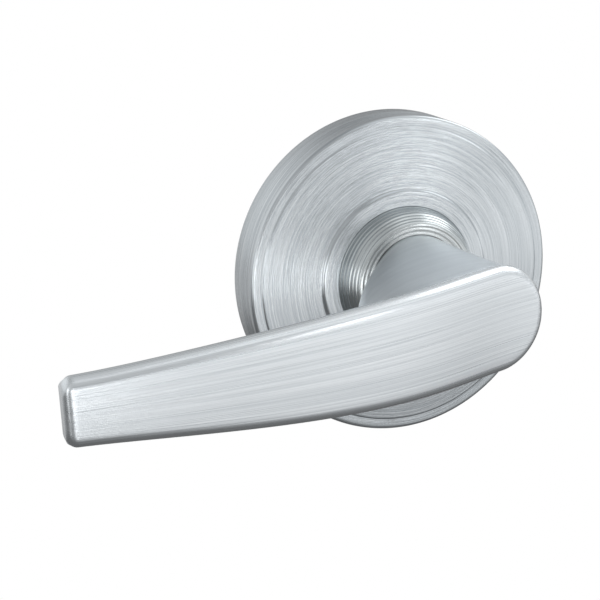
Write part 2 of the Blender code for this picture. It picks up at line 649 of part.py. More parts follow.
def build_fixings(steel):
    """The two threaded posts and the four countersunk screws."""
    posts, screws = fixing_places()
    chamfer = SPINDLE_CHAMFER
    head = POST_BORE_LENGTH - POST_REACH
    post_profile = [(0, CAVITY_FRONT_DEPTH - GAP), (POST_RADIUS, CAVITY_FRONT_DEPTH - GAP),
                    (POST_RADIUS, chamfer - POST_REACH), (POST_RADIUS - chamfer, -POST_REACH),
                    (POST_BORE_RADIUS, -POST_REACH), (POST_BORE_RADIUS, head), (0, head + POST_BORE_RADIUS / 2)]
    for name, (x, z) in zip(("upper_post", "lower_post"), posts):
        turned(name, post_profile, steel, SMALL, closed=False, location=(x, 0, z))
    neck = SCREW_HEAD_RADIUS - SCREW_RADIUS + GAP
    screw_profile = [(0, SOCKET_RADIUS), (SOCKET_RADIUS, SOCKET_RADIUS), (SOCKET_RADIUS, GAP / 3),
                     (SCREW_HEAD_RADIUS, GAP / 3), (SCREW_RADIUS, neck), (SCREW_RADIUS, SCREW_LENGTH),
                     (0, SCREW_LENGTH)]
    for number, (x, z) in enumerate(screws, 1):
        turned(f"cage_screw_{number}", screw_profile, steel, SMALL, closed=False, location=(x, 0, z))


def keyed_circle(radius, flat):
    """A round outline with a flat above and below."""
    return [(x, max(-flat, min(flat, z))) for x, z in circle(radius, ROUND)]


def build_drive(steel, bronze, parent):
    """The drive plate with its two arms, and the thrust washer in front of it."""
    outline = []
    steps = ROUND // 4
    for turn in (0, math.pi):
        start, end = ARM_ANGLE + turn - ARM_HALF_ANGLE, ARM_ANGLE + turn + ARM_HALF_ANGLE
        outline += arc(CHANNEL_RADIUS - GAP, start, end, 2)
        outline += arc(DRIVE_DISC_RADIUS, end, start + math.pi, steps)
    plate = bmesh.new()
    add_prism(plate, outline, DRIVE_BACK_DEPTH, DRIVE_FRONT_DEPTH)
    drive = add_object("drive_plate", mesh_from(plate, "drive_plate"), steel, parent)
    pads = bmesh.new()
    foot = DRIVE_FRONT_DEPTH - GAP
    half_angle = ARM_HALF_ANGLE - GAP / CHANNEL_RADIUS
    for turn in (0, math.pi):
        start, end = ARM_ANGLE + turn - half_angle, ARM_ANGLE + turn + half_angle
        pad = arc(CHANNEL_RADIUS - 2 * GAP, start, end, 2) + arc(DRIVE_PAD_RADIUS, end, start, 2)
        add_prism(pads, pad, foot, DRIVE_PAD_DEPTH)
    add_prism(pads, circle(DRIVE_BOSS_RADIUS, ROUND), foot, DRIVE_BOSS_DEPTH)
    combine(drive, pads, "drive_pads", "UNION")
    bore = bmesh.new()
    add_prism(bore, keyed_circle(HUB_BORE_RADIUS, SPINDLE_FLAT + GAP), 0, DRIVE_FRONT_DEPTH)
    combine(drive, bore, "drive_bore")
    relief = bmesh.new()
    add_prism(relief, circle(HUB_BORE_RADIUS, ROUND), DRIVE_FRONT_DEPTH - GAP, CAGE_FRONT_DEPTH)
    combine(drive, relief, "drive_relief")
    washer = ring_profile(HUB_BORE_RADIUS, WASHER_RADIUS, WASHER_FRONT_DEPTH - WASHER_THICKNESS, WASHER_FRONT_DEPTH)
    turned("thrust_washer", washer, bronze)


def build_return_springs(spring_steel):
    """Two springs bent round the axis, each between an arm of the drive plate and the next lug."""
    steps = RETURN_TURNS * COIL_POINTS
    end_gap = (RETURN_WIRE_RADIUS + GAP) / RETURN_MEAN_RADIUS
    start = ARM_ANGLE + ARM_HALF_ANGLE + end_gap
    end = 1.5 * math.pi - LUG_HALF_ANGLE - end_gap
    for name, turn in (("left_return_spring", 0.0), ("right_return_spring", math.pi)):
        points = []
        for i in range(steps + 1):
            swing = 2 * math.pi * i / COIL_POINTS
            x, z = polar(RETURN_MEAN_RADIUS + RETURN_COIL_RADIUS * math.cos(swing), start + turn + (end - start) * i / steps)
            points.append((x, -SPRING_DEPTH - RETURN_COIL_RADIUS * math.sin(swing), z))
        wire(name, points, RETURN_WIRE_RADIUS, spring_steel)


def build_hubs(steel, casting):
    """The flanged sleeves that carry the spindles at both ends of the chassis, and the nut of the outer one."""
    inner, sleeve = HUB_BORE_RADIUS, HUB_SLEEVE_RADIUS
    outer_end = PLATE_THICKNESS + GAP
    flange_back, flange_front = OUTER_FLANGE_Y + FLANGE_THICKNESS, OUTER_FLANGE_Y
    outer = [(inner, -flange_back), (CASE_RADIUS, -flange_back), (CASE_RADIUS, -flange_front),
             (sleeve, -flange_front), (sleeve, outer_end), (inner, outer_end)]
    turned("outer_hub", outer, casting)
    flange_end = INNER_FLANGE_Y + FLANGE_THICKNESS
    inside = [(inner, -INNER_FLANGE_Y), (inner, -flange_end - HUB_SLEEVE_REACH), (sleeve, -flange_end - HUB_SLEEVE_REACH),
              (sleeve, -flange_end), (CASE_RADIUS, -flange_end), (CASE_RADIUS, -INNER_FLANGE_Y)]
    turned("inner_hub", inside, casting)
    nut = turned("hub_nut", ring_profile(sleeve + GAP, NUT_RADIUS, GAP - OUTER_FLANGE_Y, -GAP), steel)
    notches = bmesh.new()
    for side in (-1, 1):
        ends = (side * (NUT_RADIUS - NUT_NOTCH / 2), side * (NUT_RADIUS + CUT_MARGIN))
        width, length = (-NUT_NOTCH / 2, NUT_NOTCH / 2), (-CUT_MARGIN, OUTER_FLANGE_Y + CUT_MARGIN)
        add_box(notches, ends, length, width)
        add_box(notches, width, length, ends)
    combine(nut, notches, "nut_notches")


def build_case(steel):
    """The drum between the two hubs, with a window towards the latch."""
    case = turned("chassis_case", ring_profile(CASE_BORE_RADIUS, CASE_RADIUS, -CASE_END_Y, -CASE_START_Y), steel)
    window = bmesh.new()
    add_box(window, (RETRACTOR_FRONT_X, CASE_RADIUS + CUT_MARGIN),
            (RETRACTOR_MIDDLE_Y - WINDOW_HALF_WIDTH, RETRACTOR_MIDDLE_Y + WINDOW_HALF_WIDTH),
            (-WINDOW_HALF_HEIGHT, WINDOW_HALF_HEIGHT))
    combine(case, window, "case_window")


def cam_outline():
    """The outline of a rollback cam, as (x, z): a round hub with a lobe above and its mirror image below.

    The working flank of a lobe is an involute of the base circle, so that the flat shoulder it pushes
    moves by the base radius for each radian of turn.
    """
    steps = 8
    flank = []
    for i in range(steps + 1):
        a = HANDLE_TURN * 1.06 * i / steps
        flank.append((CAM_BASE_RADIUS * (math.sin(a) - a * math.cos(a)),
                      CAM_BASE_RADIUS * (math.cos(a) + a * math.sin(a))))
    tip_x, tip_z = flank[-1]
    root = math.radians(25)
    lobe = [(tip_x + CAM_LOBE_WIDTH, CAM_BASE_RADIUS * 0.9),
            (tip_x + CAM_LOBE_WIDTH / 2, tip_z - CAM_LOBE_WIDTH / 5)] + flank[::-1]
    upper = lobe + arc(CAM_HUB_RADIUS, math.pi / 2, math.pi, ROUND // 4)
    lower = [(x, -z) for x, z in reversed(upper[:-1])]
    return upper + lower + arc(CAM_HUB_RADIUS, -root, root, ROUND // 8)


def build_cam(name, start_y, steel, parent):
    """A rollback cam, keyed to its spindle by the flats of its bore."""
    end_y = start_y + CAM_THICKNESS
    plate = bmesh.new()
    add_prism(plate, cam_outline(), -end_y, -start_y)
    cam = add_object(name, mesh_from(plate, name), steel, parent)
    bore = bmesh.new()
    add_prism(bore, keyed_circle(HUB_BORE_RADIUS, SPINDLE_FLAT + GAP), -end_y - CUT_MARGIN, -start_y + CUT_MARGIN)
    combine(cam, bore, f"{name}_bore")


def build_inner_spindle(steel):
    """The inside spindle: a tube with its inner end in its own cam."""
    end_y = INNER_FLANGE_Y + FLANGE_THICKNESS + INNER_SPINDLE_REACH
    profile = [(SPINDLE_BORE_RADIUS, -end_y), (SPINDLE_RADIUS - SPINDLE_CHAMFER, -end_y),
               (SPINDLE_RADIUS, SPINDLE_CHAMFER - end_y), (SPINDLE_RADIUS, -INNER_CAM_START_Y),
               (SPINDLE_BORE_RADIUS, -INNER_CAM_START_Y)]
    spindle = turned("inner_spindle", profile, steel)
    cuts = bmesh.new()
    outside = SPINDLE_RADIUS + CUT_MARGIN
    for side in (-1, 1):
        add_box(cuts, (-outside, outside), (INNER_CAM_START_Y - CUT_MARGIN, CASE_END_Y),
                (side * SPINDLE_FLAT, side * outside))
    combine(spindle, cuts, "inner_spindle_flats")


def build_retractor(casting, parent):
    """The slide that draws the latch back: shoulders for the cams, pockets for its springs, a jaw in front."""
    low, high = RETRACTOR_BACK_X, -GAP
    body = bmesh.new()
    add_box(body, (low, RETRACTOR_FRONT_X), (RETRACTOR_START_Y, RETRACTOR_END_Y),
            (-RETRACTOR_HALF_HEIGHT, RETRACTOR_HALF_HEIGHT))
    retractor = add_object("retractor", mesh_from(body, "retractor"), casting, parent)
    shoulders = bmesh.new()
    for y_ends in ((CAM_START_Y, RETRACTOR_START_Y + CUT_MARGIN), (RETRACTOR_END_Y - CUT_MARGIN, INNER_CAM_END_Y)):
        for side in (-1, 1):
            add_box(shoulders, (low, high), y_ends, (side * SHOULDER_FOOT, side * RETRACTOR_HALF_HEIGHT))
    combine(retractor, shoulders, "retractor_shoulders", "UNION")
    cuts = bmesh.new()
    through = (RETRACTOR_START_Y - CUT_MARGIN, RETRACTOR_END_Y + CUT_MARGIN)
    lip_back = RETRACTOR_FRONT_X - JAW_LIP
    jaw = [(lip_back - JAW_LENGTH, JAW_HALF_HEIGHT), (lip_back, JAW_HALF_HEIGHT), (lip_back, JAW_MOUTH_HALF_HEIGHT),
           (RETRACTOR_FRONT_X + CUT_MARGIN, JAW_MOUTH_HALF_HEIGHT)]
    jaw += [(x, -z) for x, z in reversed(jaw)]
    add_prism(cuts, jaw, -through[1], -through[0])
    for side in (-1, 1):
        across = Matrix.Translation((0, RETRACTOR_MIDDLE_Y, side * PUSH_SPRING_Z)) @ Matrix.Rotation(math.pi / 2, 4, "Z")
        add_prism(cuts, circle(PUSH_POCKET_RADIUS, SMALL), low - CUT_MARGIN, low + PUSH_POCKET_LENGTH, across)
    combine(retractor, cuts, "retractor_cuts")


def build_push_springs(spring_steel):
    """The two springs that push the retractor back towards the latch."""
    reach = PUSH_COIL_RADIUS + PUSH_WIRE_RADIUS
    wall = (CASE_BORE_RADIUS**2 - (PUSH_SPRING_Z + reach) ** 2) ** 0.5
    end_gap = PUSH_WIRE_RADIUS + GAP
    for name, side in (("upper_retractor_spring", 1), ("lower_retractor_spring", -1)):
        start = Vector((end_gap - wall, RETRACTOR_MIDDLE_Y, side * PUSH_SPRING_Z))
        end = Vector((RETRACTOR_BACK_X + PUSH_POCKET_LENGTH - end_gap, RETRACTOR_MIDDLE_Y, side * PUSH_SPRING_Z))
        points = coil(start, end, PUSH_COIL_RADIUS, PUSH_TURNS, Vector((0, 0, 1)), Vector((0, 1, 0)))
        wire(name, points, PUSH_WIRE_RADIUS, spring_steel)


def main():
    """Clears the scene and builds every sub-part at rest."""
    for old in list(bpy.data.objects):
        bpy.data.objects.remove(old)
    satin = finish("satin_chrome", (0.70, 0.72, 0.74), 0.32)
    steel = finish("plated_steel", (0.56, 0.57, 0.58), 0.38)
    casting = finish("zinc_casting", (0.50, 0.51, 0.53), 0.50)
    spring_steel = finish("spring_steel", (0.36, 0.37, 0.39), 0.35)
    bronze = finish("sintered_bronze", (0.62, 0.45, 0.24), 0.45)
    handle_axis = axis_empty("handle_axis")
    catch_axis = axis_empty("catch_axis", (0, -CATCH_DEPTH, 0), handle_axis)
    retractor_axis = axis_empty("retractor_axis")
    build_lever(satin, handle_axis)
    build_outside_spindle(steel, handle_axis)
    build_retaining_ring(spring_steel, handle_axis)
    build_catch(steel, spring_steel, catch_axis)
    build_rose(satin)
    build_collar(satin, bronze)
    build_cage(casting)
    build_plate(steel)
    build_fixings(steel)
    build_drive(steel, bronze, handle_axis)
    build_return_springs(spring_steel)
    build_hubs(steel, casting)
    build_case(steel)
    build_cam("outer_cam", CAM_START_Y, steel, handle_axis)
    build_cam("inner_cam", INNER_CAM_START_Y, steel, None)
    build_inner_spindle(steel)
    build_retractor(casting, retractor_axis)
    build_push_springs(spring_steel)


main()
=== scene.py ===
"""Looks of the lever handle lockset: its satin chrome lever, rose and collar, and a finish for every inner piece.

All lengths are metres in the part's frame. The origin is on the spindle axis in the plane of the door face, -Y
points out of the door, +Z is up and the lever's tip points to -X. A depth is a distance out of the door, -y.
"""

from __future__ import annotations

import logging
import math
from collections.abc import Callable
from dataclasses import dataclass
from enum import Enum
from typing import Any

import bpy
import numpy as np
from mathutils import Matrix, Vector

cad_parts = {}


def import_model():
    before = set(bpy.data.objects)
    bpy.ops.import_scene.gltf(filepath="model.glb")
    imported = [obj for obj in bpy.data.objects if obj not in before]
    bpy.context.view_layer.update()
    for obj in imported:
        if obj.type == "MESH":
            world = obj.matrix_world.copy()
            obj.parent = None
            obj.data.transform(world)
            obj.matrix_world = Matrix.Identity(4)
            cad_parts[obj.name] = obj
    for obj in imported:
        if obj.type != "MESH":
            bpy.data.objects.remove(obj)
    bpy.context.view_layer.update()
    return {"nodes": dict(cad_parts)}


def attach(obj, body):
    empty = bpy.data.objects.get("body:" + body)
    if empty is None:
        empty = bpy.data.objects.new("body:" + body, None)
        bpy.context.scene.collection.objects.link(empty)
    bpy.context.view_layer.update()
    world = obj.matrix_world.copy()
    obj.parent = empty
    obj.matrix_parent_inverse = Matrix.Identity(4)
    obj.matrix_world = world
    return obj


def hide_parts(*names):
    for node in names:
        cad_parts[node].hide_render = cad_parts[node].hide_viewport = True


LOG = logging.getLogger("lockset")
# The height of the small steps at the rose's band, round its hole and at the collar's shoulder.
GAP = 0.0003
# How far a cutting skin reaches past the face that it opens.
OVERCUT = 0.001
# How far two cutting skins that follow each other overlap.
LAP = 0.0001
# What the lamps point at: a place between the rose and the middle of the lever.
AIM = (-0.03, -0.03, 0.0)
WHITE = (1.0, 1.0, 1.0, 1.0)
COOL_WHITE = (0.985, 0.995, 1.0, 1.0)


class Signal:
    """A number that runs through a shader, on which arithmetic adds Math nodes."""

    def __init__(self, shader: Shader, socket: bpy.types.NodeSocket) -> None:
        """Holds a socket.

        Args:
            shader: the shader that the socket is part of.
            socket: the output that carries the number.
        """
        self.shader = shader
        self.socket = socket

    def _math(self, operation: str, first: Signal | float, second: Signal | float) -> Signal:
        """Adds a Math node.

        Args:
            operation: the node's operation.
            first: its first value.
            second: its second value.

        Returns:
            The node's result.
        """
        return self.shader.node("ShaderNodeMath", {"operation": operation}, {0: first, 1: second})

    def __add__(self, other: Signal | float) -> Signal:
        """The sum."""
        return self._math("ADD", self, other)

    def __radd__(self, other: float) -> Signal:
        """The sum with a plain number first."""
        return self._math("ADD", other, self)

    def __sub__(self, other: Signal | float) -> Signal:
        """The difference."""
        return self._math("SUBTRACT", self, other)

    def __rsub__(self, other: float) -> Signal:
        """The difference from a plain number."""
        return self._math("SUBTRACT", other, self)

    def __mul__(self, other: Signal | float) -> Signal:
        """The product."""
        return self._math("MULTIPLY", self, other)

    def __rmul__(self, other: float) -> Signal:
        """The product with a plain number first."""
        return self._math("MULTIPLY", other, self)

    def __truediv__(self, other: Signal | float) -> Signal:
        """The quotient."""
        return self._math("DIVIDE", self, other)

    def __pow__(self, other: Signal | float) -> Signal:
        """The power."""
        return self._math("POWER", self, other)

    def smoothly(self, start: float, end: float) -> Signal:
        """Goes from 0 to 1 as the number goes from start to end.

        Args:
            start: where the result is 0.
            end: where the result is 1.

        Returns:
            The eased share.
        """
        settings = {"interpolation_type": "SMOOTHSTEP"}
        return self.shader.node("ShaderNodeMapRange", settings, {"Value": self, "From Min": start, "From Max": end})


class Shader:
    """A node tree that is being written."""

    def __init__(self, tree: bpy.types.NodeTree) -> None:
        """Starts from an empty tree.

        Args:
            tree: the tree to fill.
        """
        self.tree = tree
        tree.nodes.clear()

    def node(self, kind: str, settings: dict[str, Any] | None = None, inputs: dict[int | str, Any] | None = None,
             output: int | str = 0) -> Signal:
        """Adds a node.

        Args:
            kind: the node's type.
            settings: its properties, set before its sockets.
            inputs: its sockets' values or links, by name or number.
            output: which of its outputs to give back.

        Returns:
            That output.
        """
        made = self.tree.nodes.new(kind)
        for name, value in (settings or {}).items():
            setattr(made, name, value)
        for name, value in (inputs or {}).items():
            if isinstance(value, Signal):
                self.tree.links.new(value.socket, made.inputs[name])
            else:
                made.inputs[name].default_value = value
        return Signal(self, made.outputs[output])

    def vector(self, x: Signal | float, y: Signal | float, z: Signal | float) -> Signal:
        """A vector from three numbers."""
        return self.node("ShaderNodeCombineXYZ", None, {"X": x, "Y": y, "Z": z})

    def parts(self, vector: Signal) -> tuple[Signal, Signal, Signal]:
        """The three numbers of a vector."""
        split = self.node("ShaderNodeSeparateXYZ", None, {"Vector": vector}).socket.node
        return tuple(Signal(self, split.outputs[i]) for i in range(3))

    def noise(self, place: Signal, detail: float = 2.0, roughness: float = 0.5, scale: float = 1.0) -> Signal:
        """Smooth noise between 0 and 1 at a place."""
        inputs = {"Vector": place, "Scale": scale, "Detail": detail, "Roughness": roughness}
        return self.node("ShaderNodeTexNoise", None, inputs)

    def blend(self, share: Signal | float, first: tuple | Signal, second: tuple | Signal) -> Signal:
        """Mixes two colours.

        Args:
            share: 0 for the first and 1 for the second.
            first: the first colour.
            second: the second colour.

        Returns:
            The mixed colour.
        """
        colours = [c if isinstance(c, Signal) else (*c, 1.0) for c in (first, second)]
        return self.node("ShaderNodeMix", {"data_type": "RGBA"}, {0: share, 6: colours[0], 7: colours[1]}, 2)

    def close(self, surface: Signal, kind: str = "ShaderNodeOutputMaterial") -> None:
        """Ends the tree at a material's or a world's output."""
        end = self.tree.nodes.new(kind)
        self.tree.links.new(surface.socket, end.inputs["Surface"])


class Grain(Enum):
    """How a surface was worked."""

    ALONG = "brushed along the lever"
    ROUND = "brushed round the spindle axis"
    TURNED = "turned, with fine rings"
    PLATED = "zinc plated"
    CAST = "as cast"
    DRAWN = "drawn wire"
    SINTERED = "pressed and sintered"


@dataclass(frozen=True)
class Finish:
    """A metal finish: its colours, its gloss and how it was worked.

    Its colour runs from dark to light, streaks is how much the roughness varies, and relief is the height in metres
    of the marks that the working left.
    """

    name: str
    grain: Grain
    light: tuple[float, float, float]
    dark: tuple[float, float, float]
    roughness: float
    streaks: float
    relief: float

    def material(self) -> bpy.types.Material:
        """Writes the finish as a material.

        Returns:
            The material.
        """
        made = bpy.data.materials.new(self.name)
        made.use_nodes = True
        shader = Shader(made.node_tree)
        tone, gloss, height = PATTERNS[self.grain](shader, self)
        rough = self.roughness + (gloss - 0.5) * self.streaks
        normal = shader.node("ShaderNodeBump", None, {"Strength": 1.0, "Distance": self.relief, "Height": height})
        colour = shader.blend(tone, self.dark, self.light)
        inputs = {"Base Color": colour, "Roughness": rough, "Metallic": 1.0, "Normal": normal}
        surface = shader.node("ShaderNodeBsdfPrincipled", None, inputs)
        shader.close(surface)
        return made


def object_place(shader: Shader) -> Signal:
    """The place on the object."""
    return shader.node("ShaderNodeTexCoord", None, None, "Object")


def along_pattern(shader: Shader, finish: Finish) -> tuple[Signal, Signal, Signal]:
    """Long hairlines that follow the lever, fainter on the neck and gone at the tip's end.

    Each layer is noise on the grain's place, whose scale along the lever is a few in a metre and whose scale across
    it is hundreds or thousands in a metre.

    Args:
        shader: the tree to write in.
        finish: the finish that asks for it; not used.

    Returns:
        The tone, the gloss and the height, each about 0 to 1.
    """
    grain = shader.node("ShaderNodeAttribute", {"attribute_name": "grain"}, None, "Vector")
    along, inward, across = shader.parts(grain)
    hair = shader.noise(shader.vector(along * 10, inward * 3300, across * 3300), 3.0, 0.66)
    fine = shader.noise(shader.vector(along * 24, inward * 7000, across * 7000))
    band = shader.noise(shader.vector(along * 9, inward * 420, across * 420))
    neck = inward.smoothly(0.0038, 0.0064)
    past_tip_end = along.smoothly(-0.1088, -0.1066)
    strong = (1.0 - neck * 0.88) * past_tip_end
    wear = shader.node("ShaderNodeAttribute", {"attribute_name": "wear"}, None, "Fac")
    tone = (0.60 + (hair - 0.5) * strong * 1.9 + (band - 0.5) * 0.5) + wear * 0.12 - neck * 0.06
    gloss = hair * 0.6 + band * 0.4 - wear * 0.15 + neck * 0.2
    height = (hair * 0.34 + fine * 0.28 + band * 0.05) * strong
    return tone, gloss, height


def round_pattern(shader: Shader, finish: Finish) -> tuple[Signal, Signal, Signal]:
    """Hairlines that run round the spindle axis: noise on the radius and depth, slow in the direction.

    A turned surface has lines that run further round than a brushed one, and deeper bands.

    Args:
        shader: the tree to write in.
        finish: the finish that asks for it.

    Returns:
        The tone, the gloss and the height, each about 0 to 1.
    """
    x, y, z = shader.parts(object_place(shader))
    radius = (x * x + z * z) ** 0.5
    length, band_height = (0.4, 0.25) if finish.grain is Grain.TURNED else (1.2, 0.04)
    across = radius - y * 0.83
    east, north = x / radius * length, z / radius * length
    hair = shader.noise(shader.vector(east, across * 3300, north), 3.0, 0.65)
    fine = shader.noise(shader.vector(east * 2.5, across * 8200, north * 2.5))
    band = shader.noise(shader.vector(east * 0.6, across * 600, north * 0.6))
    tone = 0.60 + (hair - 0.5) * 1.2 + (band - 0.5) * 0.4
    gloss = hair * 0.6 + band * 0.4
    return tone, gloss, hair * 0.13 + fine * 0.50 + band * band_height


def plated_pattern(shader: Shader, finish: Finish) -> tuple[Signal, Signal, Signal]:
    """A thin plate over sheet metal: cloudy tone with short rolling lines.

    Args:
        shader: the tree to write in.
        finish: the finish that asks for it; not used.

    Returns:
        The tone, the gloss and the height, each about 0 to 1.
    """
    x, y, z = shader.parts(object_place(shader))
    cloud = shader.noise(shader.vector(x * 160, y * 160, z * 160), 4.0, 0.6)
    lines = shader.noise(shader.vector(x * 90, y * 2600, z * 2600), 2.0)
    tone = 0.5 + (cloud - 0.5) * 1.4 + (lines - 0.5) * 0.5
    return tone, cloud, lines * 0.5 + cloud * 0.3


def cast_pattern(shader: Shader, finish: Finish) -> tuple[Signal, Signal, Signal]:
    """A die-cast skin: fine pits over broad flow marks.

    Args:
        shader: the tree to write in.
        finish: the finish that asks for it; not used.

    Returns:
        The tone, the gloss and the height, each about 0 to 1.
    """
    place = object_place(shader)
    pits = shader.noise(place, 3.0, 0.7, 2600.0)
    flow = shader.noise(place, 3.0, 0.5, 130.0)
    tone = 0.5 + (flow - 0.5) * 1.6 + (pits - 0.5) * 0.6
    return tone, flow * 0.6 + pits * 0.4, pits * 0.7 + flow * 0.3


def drawn_pattern(shader: Shader, finish: Finish) -> tuple[Signal, Signal, Signal]:
    """Drawn wire with a thin oily film.

    Args:
        shader: the tree to write in.
        finish: the finish that asks for it; not used.

    Returns:
        The tone, the gloss and the height, each about 0 to 1.
    """
    place = object_place(shader)
    film = shader.noise(place, 3.0, 0.6, 420.0)
    draw = shader.noise(place, 2.0, 0.5, 3600.0)
    return 0.5 + (film - 0.5) * 1.5, film, draw * 0.5 + film * 0.2


def sintered_pattern(shader: Shader, finish: Finish) -> tuple[Signal, Signal, Signal]:
    """Pressed powder: specks of bright grain among open pores.

    Args:
        shader: the tree to write in.
        finish: the finish that asks for it; not used.

    Returns:
        The tone, the gloss and the height, each about 0 to 1.
    """
    place = object_place(shader)
    cells = shader.node("ShaderNodeTexVoronoi", {"feature": "F1"}, {"Vector": place, "Scale": 3400.0})
    cloud = shader.noise(place, 3.0, 0.6, 260.0)
    return 0.7 - cells * 0.5 + (cloud - 0.5) * 0.8, cloud, 1.0 - cells


PATTERNS: dict[Grain, Callable[[Shader, Finish], tuple[Signal, Signal, Signal]]] = {
    Grain.ALONG: along_pattern,
    Grain.ROUND: round_pattern,
    Grain.TURNED: round_pattern,
    Grain.PLATED: plated_pattern,
    Grain.CAST: cast_pattern,
    Grain.DRAWN: drawn_pattern,
    Grain.SINTERED: sintered_pattern,
}
LEVER_CHROME = Finish("lever_chrome", Grain.ALONG, (0.85, 0.885, 0.91), (0.48, 0.52, 0.55), 0.29, 0.14, 0.00007)
ROSE_CHROME = Finish("rose_chrome", Grain.ROUND, (0.70, 0.735, 0.76), (0.28, 0.315, 0.34), 0.25, 0.14, 0.00011)
COLLAR_CHROME = Finish("collar_chrome", Grain.TURNED, (0.74, 0.78, 0.79), (0.30, 0.33, 0.34), 0.24, 0.14, 0.00011)
ZINC_PLATE = Finish("bright_zinc_plate", Grain.PLATED, (0.66, 0.67, 0.68), (0.44, 0.45, 0.46), 0.30, 0.20, 0.00002)
ZINC_CASTING = Finish("zinc_die_casting", Grain.CAST, (0.56, 0.57, 0.59), (0.38, 0.39, 0.41), 0.48, 0.22, 0.00003)
SPRING_WIRE = Finish("oiled_spring_wire", Grain.DRAWN, (0.44, 0.45, 0.47), (0.24, 0.25, 0.27), 0.30, 0.22, 0.000015)
BEARING_BRONZE = Finish("sintered_bronze", Grain.SINTERED, (0.74, 0.55, 0.30), (0.42, 0.29, 0.15), 0.42, 0.20, 0.00003)


def mesh_object(name: str, points: np.ndarray, faces: list[list[int]]) -> bpy.types.Object:
    """Puts a closed skin in the scene.

    Args:
        name: the piece's name.
        points: its vertices, one row each.
        faces: the vertex numbers of each face.

    Returns:
        The object, shaded smooth, at the origin.
    """
    mesh = bpy.data.meshes.new(name)
    mesh.from_pydata(points.tolist(), [], faces)
    mesh.update()
    mesh.shade_smooth()
    made = bpy.data.objects.new(name, mesh)
    bpy.context.scene.collection.objects.link(made)
    return made


def grid_faces(rows: int, columns: int, closed_rows: bool = False) -> np.ndarray:
    """The four-sided faces of a grid whose columns close into a ring.

    Args:
        rows: how many rings there are.
        columns: how many points each ring has.
        closed_rows: whether the last ring joins the first.

    Returns:
        One row of four vertex numbers for each face.
    """
    i, j = np.meshgrid(np.arange(rows if closed_rows else rows - 1), np.arange(columns), indexing="ij")
    here, after = i * columns, (i + 1) % rows * columns
    beside = (j + 1) % columns
    return np.stack([here + j, here + beside, after + beside, after + j], -1).reshape(-1, 4)


def lofted(name: str, rings: np.ndarray) -> bpy.types.Object:
    """A skin over rings of points, closed by a flat face at each end.

    Args:
        name: the piece's name.
        rings: the points, as (ring, point, coordinate).

    Returns:
        The object.
    """
    rows, columns, _ = rings.shape
    ends = [list(range(columns))[::-1], list(range((rows - 1) * columns, rows * columns))]
    made = mesh_object(name, rings.reshape(-1, 3), grid_faces(rows, columns).tolist() + ends)
    outwards(made)
    return made


def turned(name: str, profile: np.ndarray, steps: int = 288) -> bpy.types.Object:
    """A ring: a closed profile carried round the spindle axis, at x = r cos a, z = r sin a and y = -depth.

    Args:
        name: the piece's name.
        profile: its section, as (radius, depth).
        steps: how many places there are round it.

    Returns:
        The object.
    """
    angle = np.linspace(0, 2 * np.pi, steps, endpoint=False)[:, None]
    radius, depth = profile[None, :, 0], profile[None, :, 1]
    points = np.stack([radius * np.cos(angle), -depth + 0 * angle, radius * np.sin(angle)], -1)
    made = mesh_object(name, points.reshape(-1, 3), grid_faces(steps, len(profile), True).tolist())
    outwards(made)
    return made


def outwards(piece: bpy.types.Object) -> None:
    """Turns the faces of a closed piece outwards, when its volume, a sum of each triangle's determinant, is negative.

    Args:
        piece: the piece, whose faces all point the same way.
    """
    piece.data.validate()
    if np.linalg.det(points_of(piece)[triangle_corners(piece)]).sum() < 0:
        piece.data.flip_normals()


def points_of(piece: bpy.types.Object) -> np.ndarray:
    """A piece's vertices.

    Args:
        piece: the piece to read.

    Returns:
        One row of three coordinates for each vertex.
    """
    values = np.empty(len(piece.data.vertices) * 3)
    piece.data.vertices.foreach_get("co", values)
    return values.reshape(-1, 3)


def triangle_corners(piece: bpy.types.Object) -> np.ndarray:
    """The triangles that a piece's faces are drawn as.

    Args:
        piece: the piece to read.

    Returns:
        One row of three vertex numbers for each triangle.
    """
    piece.data.calc_loop_triangles()
    values = np.empty(len(piece.data.loop_triangles) * 3, np.int32)
    piece.data.loop_triangles.foreach_get("vertices", values)
    return values.reshape(-1, 3)


def eased(corners: np.ndarray, radii: np.ndarray, steps: int = 6) -> np.ndarray:
    """Rounds the corners of a closed outline with a curve from each side to the other, pulled by the corner.

    Args:
        corners: the outline's corners, as (across, up).
        radii: how far each rounding reaches from its corner.
        steps: how many pieces each rounding has.

    Returns:
        The rounded outline.
    """
    before, after = np.roll(corners, 1, 0) - corners, np.roll(corners, -1, 0) - corners
    lengths = [np.linalg.norm(side, axis=1, keepdims=True) for side in (before, after)]
    reach = np.minimum(radii[:, None], 0.45 * np.minimum(*lengths))
    share = np.linspace(0, 1, steps + 1)[None, :, None]
    start = (corners + before / lengths[0] * reach)[:, None]
    end = (corners + after / lengths[1] * reach)[:, None]
    return ((1 - share)**2 * start + 2 * share * (1 - share) * corners[:, None] + share**2 * end).reshape(-1, 2)


def joined(piece: bpy.types.Object, other: bpy.types.Object, operation: str) -> None:
    """Unites another skin with a piece, or cuts it out, and applies the result.

    Args:
        piece: the piece that changes.
        other: the other skin, which is used up.
        operation: UNION or DIFFERENCE.
    """
    change = piece.modifiers.new("join", "BOOLEAN")
    change.operation, change.solver, change.object = operation, "EXACT", other
    graph = bpy.context.evaluated_depsgraph_get()
    result = bpy.data.meshes.new_from_object(piece.evaluated_get(graph))
    piece.modifiers.clear()
    piece.data = result
    bpy.data.objects.remove(other)


def sharpened(piece: bpy.types.Object, degrees: float) -> None:
    """Shades a piece smooth except across edges that turn by more than an angle."""
    piece.data.shade_smooth()
    piece.data.set_sharp_from_angle(angle=math.radians(degrees))


